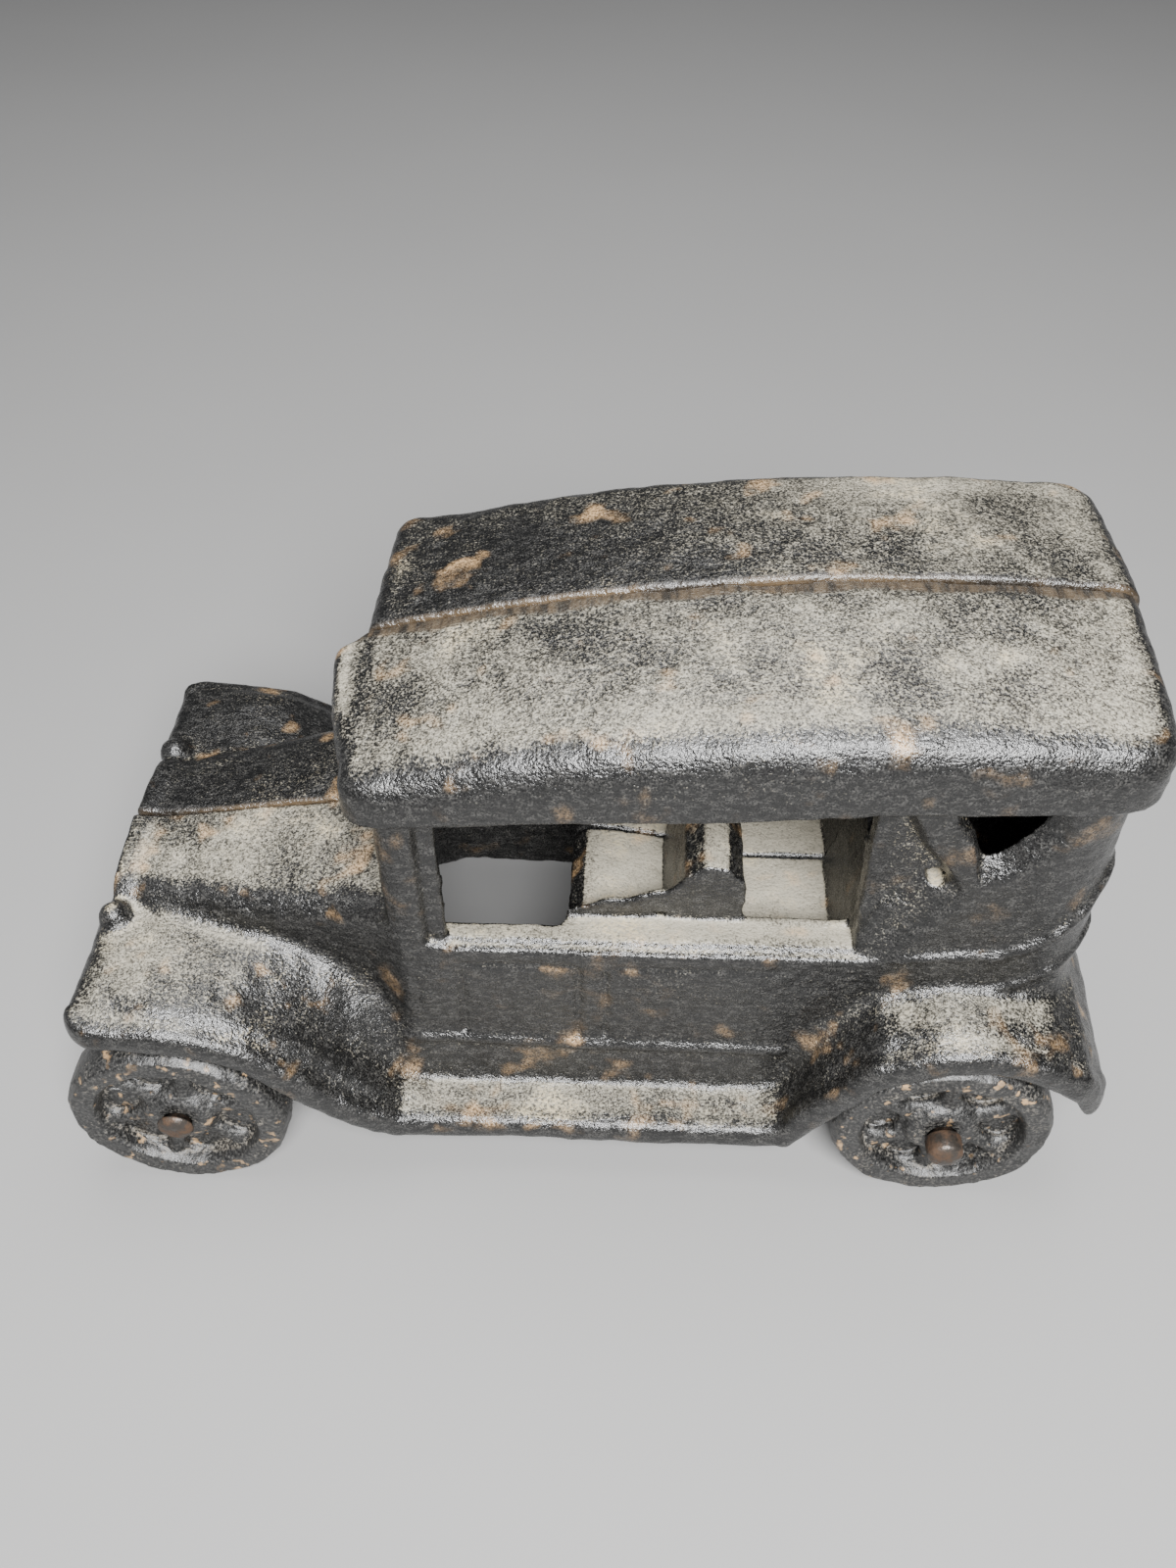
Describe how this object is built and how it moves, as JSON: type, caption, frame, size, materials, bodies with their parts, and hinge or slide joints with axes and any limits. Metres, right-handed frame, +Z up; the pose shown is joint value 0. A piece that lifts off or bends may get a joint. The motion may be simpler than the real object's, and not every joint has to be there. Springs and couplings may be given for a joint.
{
  "type": "cast-iron toy car",
  "caption": "Closed toy car of two cast-iron half shells joined on the centre plane, with open windows, cast-in benches and free-rolling spoked wheels on through axles.",
  "frame": {"origin": "on the ground, under the centre of the overall box", "axes": "+X towards the front of the car, +Y to the car's left, +Z up"},
  "size_m": [0.1724, 0.087, 0.104],
  "materials": {
    "body_iron": "worn black paint over sand-cast iron, dusty, with rust freckles",
    "wheel_iron": "worn black paint over cast iron, rusty in the pockets",
    "axle_steel": "browned steel with peened ends",
    "rivet_steel": "browned steel"
  },
  "bodies": {
    "body": {"body_left": "body_iron", "body_right": "body_iron", "front_rivet": "rivet_steel"},
    "front_axle": {"front_axle": "axle_steel"},
    "rear_axle": {"rear_axle": "axle_steel"},
    "front_wheel_left": {"front_wheel_left": "wheel_iron"},
    "front_wheel_right": {"front_wheel_right": "wheel_iron"},
    "rear_wheel_left": {"rear_wheel_left": "wheel_iron"},
    "rear_wheel_right": {"rear_wheel_right": "wheel_iron"}
  },
  "joints": [
    {"name": "front_axle_turn", "type": "hinge", "parent": "body", "child": "front_axle", "pos_m": [0.0678, 0, 0.0184], "axis": [0, 1, 0], "continuous": true},
    {"name": "rear_axle_turn", "type": "hinge", "parent": "body", "child": "rear_axle", "pos_m": [-0.0602, 0, 0.0184], "axis": [0, 1, 0], "continuous": true},
    {"name": "front_wheel_left_roll", "type": "hinge", "parent": "front_axle", "child": "front_wheel_left", "pos_m": [0.0678, 0.0376, 0.0184], "axis": [0, 1, 0], "continuous": true},
    {"name": "front_wheel_right_roll", "type": "hinge", "parent": "front_axle", "child": "front_wheel_right", "pos_m": [0.0678, -0.0376, 0.0184], "axis": [0, 1, 0], "continuous": true},
    {"name": "rear_wheel_left_roll", "type": "hinge", "parent": "rear_axle", "child": "rear_wheel_left", "pos_m": [-0.0602, 0.035, 0.0184], "axis": [0, 1, 0], "continuous": true},
    {"name": "rear_wheel_right_roll", "type": "hinge", "parent": "rear_axle", "child": "rear_wheel_right", "pos_m": [-0.0602, -0.035, 0.0184], "axis": [0, 1, 0], "continuous": true}
  ]
}
